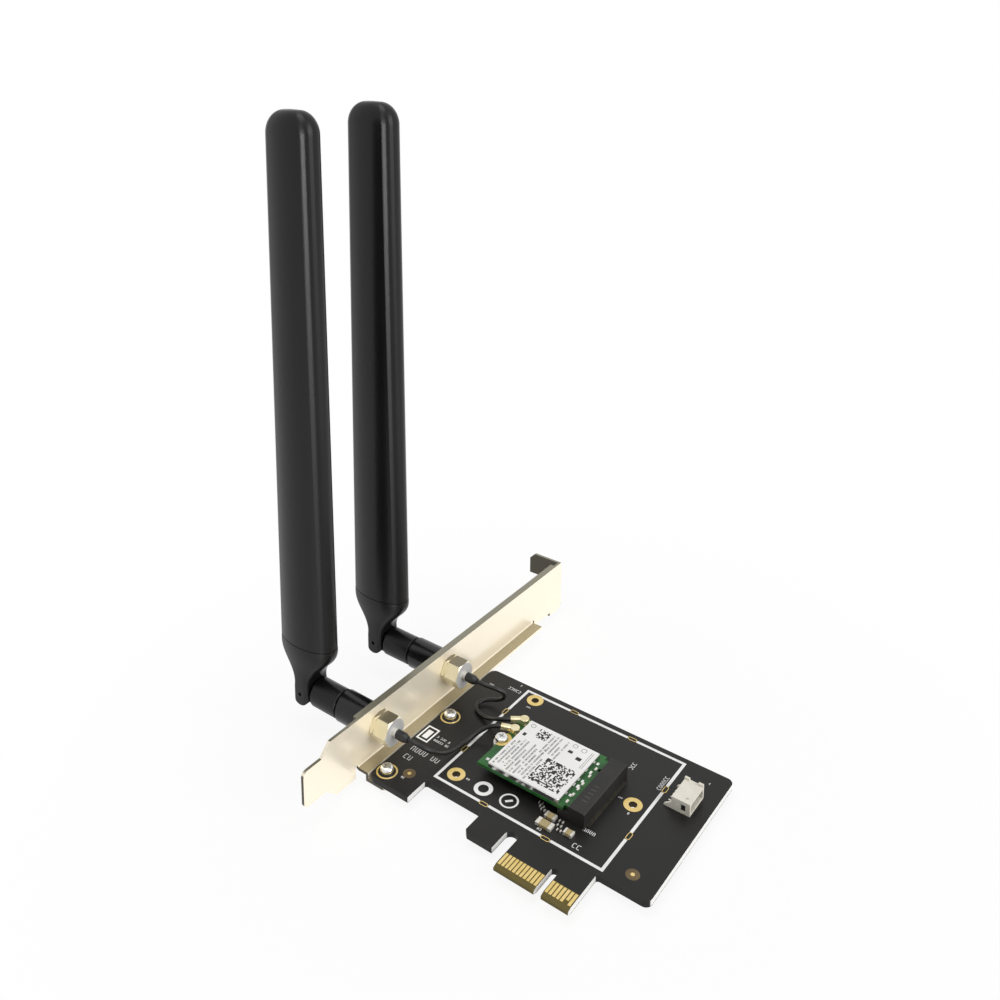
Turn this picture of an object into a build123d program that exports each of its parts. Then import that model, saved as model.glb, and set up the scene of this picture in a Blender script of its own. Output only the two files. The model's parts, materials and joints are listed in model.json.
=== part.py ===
from build123d import *
import math
import os

# Expansion card with a small radio module and two tilting antennas.
# Millimetres. X runs from the mounting bracket to the free end of the board, Y from the
# edge connector up the board, Z out of the component side.
# The origin is the middle of the connector key, on the tongue's lower edge, at mid thickness.

os.makedirs("parts", exist_ok=True)

# Board
board_thickness = 1.6
board_left = -55.0
board_right = 21.4
board_top_edge = 60.0
board_low_edge = 11.6
board_low_edge_right = 12.5
board_foot_edge = 4.2
board_foot_right = -41.8
board_corner_radius = 1.8
hook_left = -23.9
hook_low_edge = 4.1
hook_chamfer = 0.9
hook_slot_width = 3.4
hook_slot_top = 11.3
tongue_left = -12.15
tongue_right = 8.15
tongue_bevel_height = 1.2
tongue_bevel_depth = 0.4
key_width = 1.9
key_top = 8.1
cut_radius = 0.9

# Edge contacts
contact_pitch = 1.0
contact_width = 0.7
contact_low = 1.25
contact_high = 5.0
contact_short_low = 2.3
contact_skin = 0.05
first_contact = -11.5
contacts_before_key = 11
contacts_after_key = 7
key_pitch_gap = 2

# Plated holes and pads
hole_radius = 1.1
ring_radius = 2.4
ring_skin = 0.05
ring_gap = 0.1
hole_edge_distance = 4.5
plated_holes = ((-37.0, board_top_edge - hole_edge_distance), (-37.0, 18.2), (4.5, 36.8))
fiducials = ((-46.9, 11.0), (14.7, 17.6))
fiducial_radius = 0.5
fence_left = -41.1
fence_right = 8.6
fence_low = 14.2
fence_edge_distance = 2.0
fence_high = board_top_edge - fence_edge_distance
fence_pad_length = 2.6
fence_pad_width = 1.2
fence_pad_line = 0.18
fence_side_pads = (27.2, 46.4)
fence_end_pads = (-25.3, -7.0)

# Bracket, one folded sheet
sheet = 0.85
bend_radius = 0.5
plate_gap = 3.8
plate_width = 18.42
plate_height = 119.4
plate_high_end = 104.2
plate_above_board = 14.0
lip_reach = 2.1
lip_start = 5.0
lip_end = 101.0
flange_reach = 3.55
flange_start = 4.2
flange_end = 87.2
flange_above_board = 0.3
edge_step = 3.1
ear_step = 2.0
edge_step_end = 97.4
low_edge_step = 1.8
low_edge_end = -3.8
relief_width = 0.8
tongue_width = 10.19
tongue_offset = 5.12
tongue_high_start = -8.8
tongue_low_start = -7.5
tongue_end_radius = 1.5
corner_round = 1.8
tab_depth = 11.9
tab_chamfer = 1.8
tab_slot_width = 4.42
tab_slot_offset = 9.1
tab_slot_reach = 5.7
screw_x = -52.0
screw_rows = (8.0, 35.0)
screw_tab_width = 7.4
screw_tab_reach = 3.2
screw_radius = 1.25
screw_hole_clearance = 0.15
screw_head_radius = 1.8
screw_head_height = 1.7
screw_socket_width = 0.6
screw_socket_length = 2.1
screw_socket_depth = 0.9
screw_ring_radius = 2.85
screw_ring_line = 0.45
screw_collar_radius = 2.2
screw_collar_height = 1.0

# Radio module and its socket
module_left = -33.0
module_length = 30.0
module_low = 22.0
module_width = 22.0
module_thickness = 0.8
module_lift = 2.5
notch_radius = 1.75
notch_pad_radius = 2.75
module_key_width = 1.2
module_key_offset = 5.6
module_key_depth = 3.5
module_tongue_depth = 4.0
module_tongue_width = 19.8
shield_left = -29.8
shield_right = -8.3
shield_high_inset = 1.4
shield_height = 1.3
shield_radius = 0.4
label_inset = 0.15
label_skin = 0.1
socket_length = 21.7
socket_left = -5.6
socket_right = -1.0
socket_foot = 3.0
socket_height = 4.2
socket_mouth = 1.0
socket_tail_pitch = 0.5
socket_tail_width = 0.25
socket_tail_reach = 0.7
socket_tail_height = 0.45
standoff_radius = 2.2
module_screw_radius = 0.95
module_screw_head = 1.75
module_screw_head_height = 0.9
module_socket_width = 0.45
module_socket_length = 1.7
module_socket_depth = 0.5
receptacle_width = 2.4
receptacle_height = 0.35
receptacle_ring = 0.95
receptacle_top = 0.8
plug_radius = 1.3
plug_wall = 0.2
plug_height = 1.2
plug_tail_width = 1.5
plug_tail_length = 2.5
plug_tail_height = 1.36
plug_bore_depth = 1.6
receptacle_x = -31.6
receptacle_rows = (37.3, 41.9)
plug_turn = (22.0, 36.0)

# Small parts on the board
capacitors = ((-9.3, 17.6, 4.4, 2.2, 0.8), (-9.5, 20.6, 2.9, 1.8, 0.8), (-3.2, 18.8, 2.4, 1.8, 0.8))
resistors = ((-13.9, 23.1), (-13.1, 22.3), (-12.3, 21.5), (-6.6, 20.9), (-6.3, 19.5), (-5.6, 18.2))
chip_length = 1.3
chip_width = 0.7
chip_height = 0.4
chip_end = 0.35
chip_end_skin = 0.02
capacitor_end_share = 0.22
module_chip_length = 1.05
module_chip_width = 0.55
module_chips = ((-7.0, 24.2), (-7.0, 27.0), (-7.0, 29.4), (-7.0, 31.6), (-7.0, 35.0), (-7.0, 38.2))

# Pin header
header_left = 12.5
header_length = 5.0
header_low = 41.6
header_width = 8.1
header_height = 3.4
header_wall = 0.7
header_back = 1.1
header_floor = 0.6
header_horn = 0.6
header_horn_width = 1.3
header_wing_reach = 2.0
header_wing_height = 1.7
header_pins = 4
header_pitch = 1.25
header_pin_width = 0.4

# Antenna connectors
axis_above_board = 8.1
axis_rows = (12.7, 43.1)
thread_radius = 3.175
thread_clearance = 0.06
thread_chamfer = 0.25
panel_hole_clearance = 0.1
hex_across = 7.2
hex_corner_share = 0.985
hex_chamfer = 0.3
spacer_thickness = 1.2
jack_hex_thickness = 4.4
washer_thickness = 0.4
washer_radius = 4.6
washer_teeth = 8
washer_tooth_gap = 0.9
washer_tooth_depth = 0.55
outer_nut_thickness = 1.8
jack_reach = 8.6
jack_bore_radius = 2.1
jack_insulator_length = 7.0
jack_pin_radius = 0.46
jack_pin_reach = 2.4
ferrule_radius = 1.1
ferrule_length = 3.0
sleeve_radius = 1.3
sleeve_start = 1.0
sleeve_length = 3.6
sleeve_end_radius = 0.8
cable_diameter = 1.13

# Antenna
nut_radius = 4.4
nut_start_gap = 0.15
nut_length = 9.3
nut_lip = 1.4
nut_chamfer = 0.35
face_gap = 0.2
core_flange_radius = 3.05
core_flange_thickness = 1.4
core_neck_radius = 2.2
core_neck_length = 6.5
running_gap = 0.07
socket_radius = 1.1
barrel_radius = 4.1
barrel_gap = 0.4
pivot_distance = 24.85
shoulder_distance = 3.5
swing_radius = 3.2
tongue_thickness = 4.6
tongue_gap = 0.1
tongue_half_height = 2.9
pin_radius = 0.8
pin_clearance = 0.06
pin_length = 7.6
pin_mouth_radius = 0.55
fork_half_width = 2.75
fork_depth = 8.8
fork_edge_radius = 1.3
fork_top = 2.0
slot_clearance = 0.15
seam_height = 14.9
blade_length = 147.7
blade_wide = 19.0
blade_thick = 10.0
blade_crown = 2.9
blade_round = 3.6
blade_top_wide = 16.2
blade_top_thick = 8.6
blade_top_crown = 1.6
blade_top_round = 3.2
blade_wall = 1.3
dome_height = 6.2
dome_side = 5.6
dome_front = 3.4
dome_turns = (0, 22, 42, 58, 71, 81, 88)
blade_top_wall = 2.5
seam_groove = 0.2
spigot_height = 6.0
spigot_gap = 0.1
radiator_thickness = 0.6
radiator_width = 8.0
radiator_length = 118.0
radiator_seat = 3.0
radiator_gap = 0.05

# Places that follow from the sizes above
board_top = board_thickness / 2
plate_inner = board_left - plate_gap
plate_outer = plate_inner - sheet
plate_top = board_top + plate_above_board
plate_low = plate_top - plate_width
plate_low_end = plate_high_end - plate_height
ear_low = plate_low + ear_step
flange_top = board_top + flange_above_board
axis_z = board_top + axis_above_board
module_bottom = board_top + module_lift
module_top = module_bottom + module_thickness
jack_face = plate_inner + spacer_thickness + jack_hex_thickness
jack_end = plate_outer - jack_reach
nut_near = plate_outer - washer_thickness - outer_nut_thickness - nut_start_gap
nut_far = nut_near - nut_length
barrel_near = nut_far - barrel_gap
pivot_x = plate_outer - pivot_distance
plug_centre_z = module_top + receptacle_height + 0.05 + plug_tail_height / 2
sleeve_end = jack_face + sleeve_start + sleeve_length
side_names = ("left", "right")


def save(node, shape):
    shape.label = node
    export_step(shape, f"parts/{node}.step")


def boxed(x0, x1, y0, y1, z0, z1):
    """A box between two corners."""
    size = (x1 - x0, y1 - y0, z1 - z0)
    return Pos((x0 + x1) / 2, (y0 + y1) / 2, (z0 + z1) / 2) * Box(*size)


def rod(radius, x0, x1, y=0.0, z=0.0):
    """A round bar along X."""
    return Pos((x0 + x1) / 2, y, z) * Rot(0, 90, 0) * Cylinder(radius, abs(x1 - x0))


def post(radius, z0, z1, x=0.0, y=0.0):
    """A round bar along Z."""
    return Pos(x, y, (z0 + z1) / 2) * Cylinder(radius, z1 - z0)


def hex_bar(x0, x1, y, z):
    """A hexagonal bar along X with a flat on top, both its ends turned down to the circle inside."""
    corner = hex_across / math.sqrt(3)
    profile = Plane((x0, y, z), x_dir=(0, 1, 0), z_dir=(1, 0, 0)) * RegularPolygon(corner, 6)
    radius = corner * hex_corner_share
    points = [
        (x0, 0),
        (x0, hex_across / 2),
        (x0 + hex_chamfer, radius),
        (x1 - hex_chamfer, radius),
        (x1, hex_across / 2),
        (x1, 0),
    ]
    turned = Pos(0, y, z) * revolve(make_face(Polyline(*points, close=True)), Axis.X)
    return extrude(profile, x1 - x0) & turned


def crown_radius(wide, crown):
    return (wide ** 2 / 4 + crown ** 2) / (2 * crown)


def oval(wide, thick, crown, radius, z):
    """An oblong section at a height, its long sides bowed out by the crown and its corners rounded."""
    a, b = wide / 2, thick / 2
    low = b - crown
    sides = [
        ThreePointArc((-a, low), (0, b), (a, low)),
        Line((a, low), (a, -low)),
        ThreePointArc((a, -low), (0, -b), (-a, -low)),
        Line((-a, -low), (-a, low)),
    ]
    face = make_face(sides)
    return Plane.XY.offset(z) * fillet(face.vertices(), radius)


def inset(section, wall):
    """The oval that lies a wall's thickness inside another one."""
    wide, thick, crown, radius, z = section
    bow = crown_radius(wide, crown) - wall
    half = wide / 2 - wall
    return wide - 2 * wall, thick - 2 * wall, bow - math.sqrt(bow ** 2 - half ** 2), radius - wall, z


def group(solids):
    """Separate solids kept together as one node."""
    return Compound(children=list(solids))


def vertical(shape):
    return shape.edges().filter_by(Axis.Z)


# Board
def board_outline():
    hook_right = tongue_left - hook_slot_width
    points = [
        (board_left, board_foot_edge),
        (board_foot_right, board_foot_edge),
        (board_foot_right, board_low_edge),
        (hook_left, board_low_edge),
        (hook_left, hook_low_edge + hook_chamfer),
        (hook_left + hook_chamfer, hook_low_edge),
        (hook_right, hook_low_edge),
        (hook_right, board_low_edge),
        (tongue_left, board_low_edge),
        (tongue_left, 0),
        (tongue_right, 0),
        (tongue_right, board_low_edge_right),
        (board_right, board_low_edge_right),
        (board_right, board_top_edge),
        (board_left, board_top_edge),
    ]
    return make_face(Polyline(*points, close=True))


def near(vertex, x, y):
    return abs(vertex.X - x) < 0.01 and abs(vertex.Y - y) < 0.01


def round_corners(face, corners, radius):
    picked = [v for v in face.vertices() if any(near(v, *corner) for corner in corners)]
    return fillet(picked, radius)


def main_board():
    hook_right = tongue_left - hook_slot_width
    outline = board_outline()
    outer = [
        (board_left, board_foot_edge),
        (board_left, board_top_edge),
        (board_right, board_top_edge),
        (board_right, board_low_edge_right),
    ]
    outline = round_corners(outline, outer, board_corner_radius)
    inner = [
        (board_foot_right, board_low_edge),
        (hook_left, board_low_edge),
        (tongue_right, board_low_edge_right),
    ]
    outline = round_corners(outline, inner, cut_radius)
    plate = extrude(Pos(0, 0, -board_thickness / 2) * outline, board_thickness)
    slot_centre = (hook_right + tongue_left) / 2
    slot_low = hook_slot_top - hook_slot_width / 2
    fill = boxed(hook_right, tongue_left, slot_low, board_low_edge + 0.5, -board_top, board_top)
    plate = plate + fill - post(hook_slot_width / 2, -board_top, board_top, slot_centre, slot_low)
    key_low = key_top - key_width / 2
    plate -= boxed(-key_width / 2, key_width / 2, -1, key_low, -board_top, board_top)
    plate -= post(key_width / 2, -board_top, board_top, 0, key_low)
    for x, y in plated_holes:
        plate -= post(hole_radius, -board_top, board_top, x, y)
    for y in screw_rows:
        plate -= post(screw_radius + screw_hole_clearance, -board_top, board_top, screw_x, y)
    for side in (1, -1):
        plate -= tongue_bevel(side)
    return plate


def tongue_bevel(side):
    """The slanted cut along the tongue's lower edge that guides it into its slot."""
    edge = side * board_top
    points = [(0, edge), (tongue_bevel_height, edge), (0, edge - side * tongue_bevel_depth)]
    side_plane = Plane((tongue_left - 1, 0, 0), x_dir=(0, 1, 0), z_dir=(1, 0, 0))
    wedge = side_plane * make_face(Polyline(*points, close=True))
    return extrude(wedge, tongue_right - tongue_left + 2)


def contact_places():
    before = [first_contact + i * contact_pitch for i in range(contacts_before_key)]
    start = before[-1] + (key_pitch_gap + 1) * contact_pitch
    after = [start + i * contact_pitch for i in range(contacts_after_key)]
    return before + after


def edge_contacts():
    places = contact_places()
    pads = []
    for side in (1, -1):
        short = len(places) - 2 if side == 1 else 0
        z_low = min(side * board_top, side * (board_top + contact_skin))
        for i, x in enumerate(places):
            low = contact_short_low if i == short else contact_low
            half = contact_width / 2
            pads.append(boxed(x - half, x + half, low, contact_high, z_low, z_low + contact_skin))
    return group(pads)


def ring(x, y, inner, outer, z=None, height=None):
    z = board_top if z is None else z
    height = ring_skin if height is None else height
    return post(outer, z, z + height, x, y) - post(inner, z - 1, z + height + 1, x, y)


def fence_pad(x, y, along_x):
    length, width = fence_pad_length, fence_pad_width
    radius = width / 2 - 0.01
    outer = RectangleRounded(length, width, radius)
    line = fence_pad_line
    inner = RectangleRounded(length - 2 * line, width - 2 * line, radius - line)
    turn = 0 if along_x else 90
    return extrude(Pos(x, y, board_top) * Rot(0, 0, turn) * (outer - inner), ring_skin)


def board_pads():
    """Gold rings, shield fence pads and alignment marks on the component side."""
    pads = [ring(x, y, hole_radius, ring_radius) for x, y in plated_holes]
    screw_ring_inner = screw_ring_radius - screw_ring_line
    pads += [ring(screw_x, y, screw_ring_inner, screw_ring_radius) for y in screw_rows]
    pads += [post(fiducial_radius, board_top, board_top + ring_skin, x, y) for x, y in fiducials]
    for y in fence_side_pads:
        pads += [fence_pad(x, y, False) for x in (fence_left, fence_right)]
    for x in fence_end_pads:
        pads += [fence_pad(x, y, True) for y in (fence_low, fence_high)]
    return group(pads)


# Bracket
def bracket_blank():
    """The flat plate seen along X, with its stepped lower edge and insertion tongue."""
    y_top = plate_high_end
    low_edge = plate_low + low_edge_step
    tongue_low = plate_low + tongue_offset
    tongue_high = tongue_low + tongue_width
    strip_low = flange_top + bend_radius
    points = [
        (plate_low_end, tongue_low),
        (tongue_low_start, tongue_low),
        (low_edge_end, low_edge),
        (flange_start - relief_width, low_edge),
        (flange_start - relief_width, strip_low),
        (flange_end + relief_width, strip_low),
        (flange_end + relief_width, plate_low + edge_step),
        (edge_step_end, plate_low + edge_step),
        (edge_step_end, ear_low),
        (y_top, ear_low),
        (y_top, plate_top),
        (tongue_high_start + plate_top - tongue_high, plate_top),
        (tongue_high_start, tongue_high),
        (plate_low_end, tongue_high),
    ]
    face = make_face(Polyline(*points, close=True))
    face = round_corners(face, [(plate_low_end, tongue_low), (plate_low_end, tongue_high)], tongue_end_radius)
    face = round_corners(face, [(y_top, ear_low)], corner_round)
    return extrude(Plane((plate_outer, 0, 0), x_dir=(0, 1, 0), z_dir=(1, 0, 0)) * face, sheet)


def bracket_flange():
    """The strip folded inwards beside the board, level with its component side."""
    y0, y1 = flange_start, flange_end
    bend_x = plate_inner + bend_radius
    bend_z = flange_top + bend_radius
    axis = Pos(bend_x, (y0 + y1) / 2, bend_z) * Rot(90, 0, 0)
    bend = axis * (Cylinder(bend_radius + sheet, y1 - y0) - Cylinder(bend_radius, y1 - y0))
    bend &= boxed(plate_outer, bend_x, y0, y1, flange_top - sheet, bend_z)
    return bend + boxed(bend_x, plate_inner + flange_reach, y0, y1, flange_top - sheet, flange_top)


def bracket_screw_tab(y):
    """A tapped tab that steps down from the flange and carries the board from below."""
    y0, y1 = y - screw_tab_width / 2, y + screw_tab_width / 2
    top = -board_top
    flange_edge = plate_inner + flange_reach
    web = boxed(flange_edge - sheet, flange_edge, y0, y1, top - sheet, flange_top - sheet / 2)
    end = screw_x + screw_tab_reach
    arm = boxed(flange_edge - sheet, end, y0, y1, top - sheet, top)
    corners = [e for e in vertical(arm) if e.center().X > end - 0.01]
    arm = fillet(corners, screw_tab_reach * 0.7)
    collar = post(screw_collar_radius, top - sheet - screw_collar_height, top, screw_x, y)
    return web + arm + collar - post(screw_radius, top - sheet - screw_collar_height - 1, top + 1, screw_x, y)


def bracket_tab():
    """The tab folded outwards at the top end, slotted for the case screw."""
    x_out = plate_inner - tab_depth
    y1 = plate_high_end
    y0 = y1 - sheet
    slot_z = plate_low + tab_slot_offset
    slot_end = x_out + tab_slot_reach
    tab = boxed(x_out, plate_outer, y0, y1, ear_low + corner_round, plate_top)
    ends = [e for e in tab.edges().filter_by(Axis.Y) if e.center().X < x_out + 0.01]
    tab = chamfer(ends, tab_chamfer)
    half = tab_slot_width / 2
    tab -= boxed(x_out - 1, slot_end, y0 - 1, y1 + 1, slot_z - half, slot_z + half)
    tab -= Pos(slot_end, (y0 + y1) / 2, slot_z) * Rot(90, 0, 0) * Cylinder(half, sheet + 2)
    return tab


def bracket():
    body = bracket_blank()
    body += boxed(plate_inner - lip_reach, plate_outer, lip_start, lip_end, plate_top - sheet, plate_top)
    body += bracket_flange()
    for y in screw_rows:
        body += bracket_screw_tab(y)
    body += bracket_tab()
    hole = thread_radius + panel_hole_clearance
    for y in axis_rows:
        body -= rod(hole, plate_outer - 1, plate_inner + 1, y, axis_z)
    return body


def pan_screw(x, y, z, radius, length, head_radius, head_height, cross_width, cross_length, cross_depth):
    """A pan head screw standing on height z, with a cross recess."""
    head = post(head_radius, z, z + head_height, x, y)
    head = fillet(head.edges().group_by(Axis.Z)[-1], head_height * 0.55)
    shank = post(radius, z - length, z, x, y)
    top = z + head_height
    half_l, half_w = cross_length / 2, cross_width / 2
    recess = boxed(x - half_l, x + half_l, y - half_w, y + half_w, top - cross_depth, top + 1)
    turned = Pos(x, y, 0) * Rot(0, 0, 90) * Pos(-x, -y, 0) * recess
    return head + shank - recess - turned


def bracket_screws():
    length = board_thickness + sheet + screw_collar_height
    return group(
        pan_screw(screw_x, y, board_top + ring_skin, screw_radius, length, screw_head_radius,
                  screw_head_height, screw_socket_width, screw_socket_length, screw_socket_depth)
        for y in screw_rows
    )


# Radio module
def module_outline(z, height):
    x1 = module_left + module_length
    y0, y1 = module_low, module_low + module_width
    middle = (y0 + y1) / 2
    body = boxed(module_left, x1, y0, y1, z, z + height)
    body -= post(notch_radius, z - 1, z + height + 1, module_left, middle)
    for edge in (y0, y1):
        step = (module_width - module_tongue_width) / 2
        body -= boxed(x1 - module_tongue_depth, x1 + 1, edge - step, edge + step, z - 1, z + height + 1)
    key_y = middle + module_key_offset
    half = module_key_width / 2
    body -= boxed(x1 - module_key_depth, x1 + 1, key_y - half, key_y + half, z - 1, z + height + 1)
    return body


def module_board():
    return module_outline(module_bottom, module_thickness)


def module_pads():
    """The gold half ring round the screw notch and the edge contacts inside the socket."""
    middle = module_low + module_width / 2
    skin = ring_skin
    half_ring = ring(module_left, middle, notch_radius + ring_gap, notch_pad_radius, module_top)
    half_ring &= boxed(module_left, module_left + 5, middle - 5, middle + 5, module_top, module_top + skin)
    x1 = module_left + module_length
    key_y = middle + module_key_offset
    fingers = []
    edge = (module_tongue_width - 1.0) / 2
    for y_low, y_high in ((middle - edge, key_y - 1.0), (key_y + 1.0, middle + edge)):
        fingers.append(boxed(x1 - 1.9, x1 - 0.2, y_low, y_high, module_top, module_top + skin))
    return group([half_ring] + fingers)


def module_shield():
    y0 = module_low + 0.1
    y1 = module_low + module_width - shield_high_inset
    can = boxed(shield_left, shield_right, y0, y1, module_top, module_top + shield_height)
    can = fillet(vertical(can), shield_radius)
    return fillet(can.edges().group_by(Axis.Z)[-1], shield_radius / 2)


def module_label():
    y0 = module_low + 0.1 + label_inset
    y1 = module_low + module_width - shield_high_inset - label_inset
    z = module_top + shield_height
    return boxed(shield_left + label_inset, shield_right - label_inset, y0, y1, z, z + label_skin)


def module_socket():
    """Card socket: tall rear block with a mouth for the module and a low front foot."""
    middle = module_low + module_width / 2
    y0, y1 = middle - socket_length / 2, middle + socket_length / 2
    z0 = board_top
    body = boxed(socket_left, socket_right, y0, y1, z0, z0 + socket_height)
    body += boxed(socket_left - socket_foot, socket_left, y0, y1, z0, module_bottom - 0.3)
    mouth_low = module_bottom - 0.05
    mouth_high = mouth_low + socket_mouth
    module_end = module_left + module_length
    half = module_tongue_width / 2 + 0.08
    body -= boxed(socket_left - 1, module_end + 0.1, middle - half, middle + half, mouth_low, mouth_high)
    key_y = middle + module_key_offset
    rib = module_key_width / 2 - 0.1
    rib_start = module_end - module_key_depth + 0.6
    body += boxed(rib_start, module_end + 0.1, key_y - rib, key_y + rib, mouth_low, mouth_high)
    back = [e for e in body.edges().filter_by(Axis.Y) if e.center().Z > z0 + socket_height - 0.01]
    return chamfer(back, 0.25)


def socket_tails():
    """The rows of solder tails behind and in front of the socket."""
    middle = module_low + module_width / 2
    count = int((socket_length - 2.4) / socket_tail_pitch)
    tails = []
    for i in range(count):
        y = middle + (i - (count - 1) / 2) * socket_tail_pitch
        y0, y1 = y - socket_tail_width / 2, y + socket_tail_width / 2
        foot = boxed(socket_right, socket_right + socket_tail_reach, y0, y1, board_top, board_top + 0.15)
        leg = boxed(socket_right, socket_right + 0.15, y0, y1, board_top, board_top + socket_tail_height)
        tails.append(foot + leg)
    return group(tails)


def standoff():
    middle = module_low + module_width / 2
    body = post(standoff_radius, board_top, module_bottom, module_left, middle)
    return body - post(module_screw_radius + 0.05, board_top - 1, module_bottom + 1, module_left, middle)


def module_screw():
    middle = module_low + module_width / 2
    length = module_thickness + module_lift - 0.3
    return pan_screw(module_left, middle, module_top + ring_skin, module_screw_radius, length,
                     module_screw_head, module_screw_head_height, module_socket_width,
                     module_socket_length, module_socket_depth)


def receptacle(x, y):
    half = receptacle_width / 2
    base = boxed(x - half, x + half, y - half, y + half, module_top, module_top + receptacle_height)
    top = module_top + receptacle_top
    collar = post(receptacle_ring, module_top, top, x, y)
    collar -= post(receptacle_ring - 0.2, module_top + receptacle_height, top + 1, x, y)
    return base + collar + post(0.2, module_top, top, x, y)


def coax_receptacles():
    return group(receptacle(receptacle_x, y) for y in receptacle_rows)


def cable_plug(i):
    """The snap-on cap of a pigtail with its crimped tail."""
    low = module_top + receptacle_height + 0.05
    top = low + plug_height
    cap = post(plug_radius, low, top, 0, 0) - post(plug_radius - plug_wall, low - 1, top - 0.2, 0, 0)
    cap = fillet(cap.edges().group_by(Axis.Z)[-1], 0.12)
    half = plug_tail_width / 2
    tail_end = -plug_radius - plug_tail_length
    tail = boxed(tail_end, -plug_radius + plug_wall, -half, half, low, low + plug_tail_height)
    tail = fillet(tail.edges().filter_by(Axis.X), 0.3)
    bore = rod(cable_diameter / 2, tail_end - 1, -plug_radius - plug_bore_depth, 0, plug_centre_z)
    return Pos(receptacle_x, receptacle_rows[i], 0) * Rot(0, 0, plug_turn[i]) * (cap + tail - bore)


# Small parts
def capacitor_bodies():
    bodies = []
    for x, y, l, w, h in capacitors:
        half_l, half_w = l * (0.5 - capacitor_end_share), w / 2 - 0.04
        bodies.append(boxed(x - half_l, x + half_l, y - half_w, y + half_w, board_top, board_top + h - 0.03))
    return group(bodies)


def end_caps(x, y, l, w, h, end):
    """The two metal ends of a chip that lies along X."""
    caps = []
    for side in (-1, 1):
        x0 = x + side * l / 2
        x1 = x0 - side * end
        cap = boxed(min(x0, x1), max(x0, x1), y - w / 2, y + w / 2, board_top, board_top + h)
        caps.append(fillet(cap.edges().filter_by(Axis.Y), 0.08))
    return caps


def chip_ends():
    caps = []
    for x, y, l, w, h in capacitors:
        caps += end_caps(x, y, l, w, h, l * capacitor_end_share)
    for x, y in resistors:
        caps += end_caps(x, y, chip_length, chip_width, chip_height, chip_end)
    return group(caps)


def chip_resistors():
    half = chip_length / 2 - chip_end
    half_w = chip_width / 2 - chip_end_skin
    return group(
        boxed(x - half, x + half, y - half_w, y + half_w, board_top, board_top + chip_height - chip_end_skin)
        for x, y in resistors
    )


def module_parts():
    half_l, half_w = module_chip_length / 2, module_chip_width / 2
    return group(
        boxed(x - half_w, x + half_w, y - half_l, y + half_l, module_top, module_top + chip_height)
        for x, y in module_chips
    )


# Pin header
def header_housing():
    x0, x1 = header_left, header_left + header_length
    y0, y1 = header_low, header_low + header_width
    z0, z1 = board_top, board_top + header_height
    body = boxed(x0, x1, y0, y1, z0, z1)
    wall, floor = header_wall, header_floor
    body -= boxed(x0 + header_back, x1 + 1, y0 + wall, y1 - wall, z0 + floor, z1 - floor)
    middle = (x0 + x1) / 2
    body -= boxed(middle, middle + 1.3, y0 - 1, y0 + header_wall + 0.1, z0 + 0.5, z1 - 0.9)
    body -= post(0.35, z1 - 0.3, z1 + 1, x1 - 1.5, y0 + 1.6)
    for x in (x0, x1 - header_horn_width):
        body += boxed(x, x + header_horn_width, y1 - header_wall, y1, z1, z1 + header_horn)
    for y in (y0, y1 - header_wall):
        body += header_wing(x0, y)
    return body


def header_wing(x, y):
    """The small gusset that steadies the header beside its solder tails."""
    x_out = x - header_wing_reach
    points = [
        (x, board_top),
        (x_out, board_top),
        (x_out, board_top + 0.3),
        (x, board_top + header_wing_height),
    ]
    face = Plane((0, y, 0), x_dir=(1, 0, 0), z_dir=(0, -1, 0)) * make_face(Polyline(*points, close=True))
    return extrude(face, -header_wall)


def header_contacts():
    pins = []
    middle = header_low + header_width / 2
    zc = board_top + header_height / 2
    half = header_pin_width / 2
    x_tail = header_left - 1.7
    x_end = header_left + header_length - 0.9
    for i in range(header_pins):
        y = middle + (i - (header_pins - 1) / 2) * header_pitch
        foot = boxed(x_tail, header_left, y - half, y + half, board_top, board_top + 0.25)
        leg = boxed(header_left - 0.3, header_left, y - half, y + half, board_top, zc + half)
        inside = boxed(header_left + header_back, x_end, y - half, y + half, zc - half, zc + half)
        pins += [foot + leg, inside]
    return group(pins)


# Antenna connectors
def jack_body(y):
    """Bulkhead jack: hexagon inside the bracket, thread through it and out."""
    hexagon = hex_bar(jack_face - jack_hex_thickness, jack_face, y, axis_z)
    thread = rod(thread_radius, jack_end, jack_face - 0.5, y, axis_z)
    thread_rims = thread.edges().filter_by(GeomType.CIRCLE)
    thread = chamfer([e for e in thread_rims if e.center().X < jack_end + 0.1], thread_chamfer)
    body = hexagon + thread
    return body - rod(jack_bore_radius, jack_end - 1, jack_face - 1.0, y, axis_z)


def jack_insulator(y):
    x1 = jack_face - 1.0
    body = rod(jack_bore_radius, x1 - jack_insulator_length, x1, y, axis_z)
    return body - rod(jack_pin_radius, x1 - jack_insulator_length - 1, x1 - 1.0, y, axis_z)


def jack_pin(y):
    x1 = jack_face - 2.0
    x0 = jack_face - 1.0 - jack_insulator_length - jack_pin_reach
    return rod(jack_pin_radius, x0, x1, y, axis_z)


def spacer_nut(y):
    """The thin nut between the bracket and the jack's hexagon, its flats in line with the hexagon's."""
    x1 = plate_inner + spacer_thickness
    bore = rod(thread_radius, plate_inner - 1, x1 + 1, y, axis_z)
    return hex_bar(plate_inner, x1, y, axis_z) - bore


def lock_washer(y):
    x1 = plate_outer
    x0 = x1 - washer_thickness
    body = rod(washer_radius, x0, x1) - rod(thread_radius + thread_clearance, x0 - 1, x1 + 1)
    half = washer_tooth_gap / 2
    cut = boxed(x0 - 1, x1 + 1, washer_radius - washer_tooth_depth, washer_radius + 1, -half, half)
    turn = 360 / washer_teeth
    for i in range(washer_teeth):
        body -= Rot((i + 0.5) * turn, 0, 0) * cut
    return Pos(0, y, axis_z) * body


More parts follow.
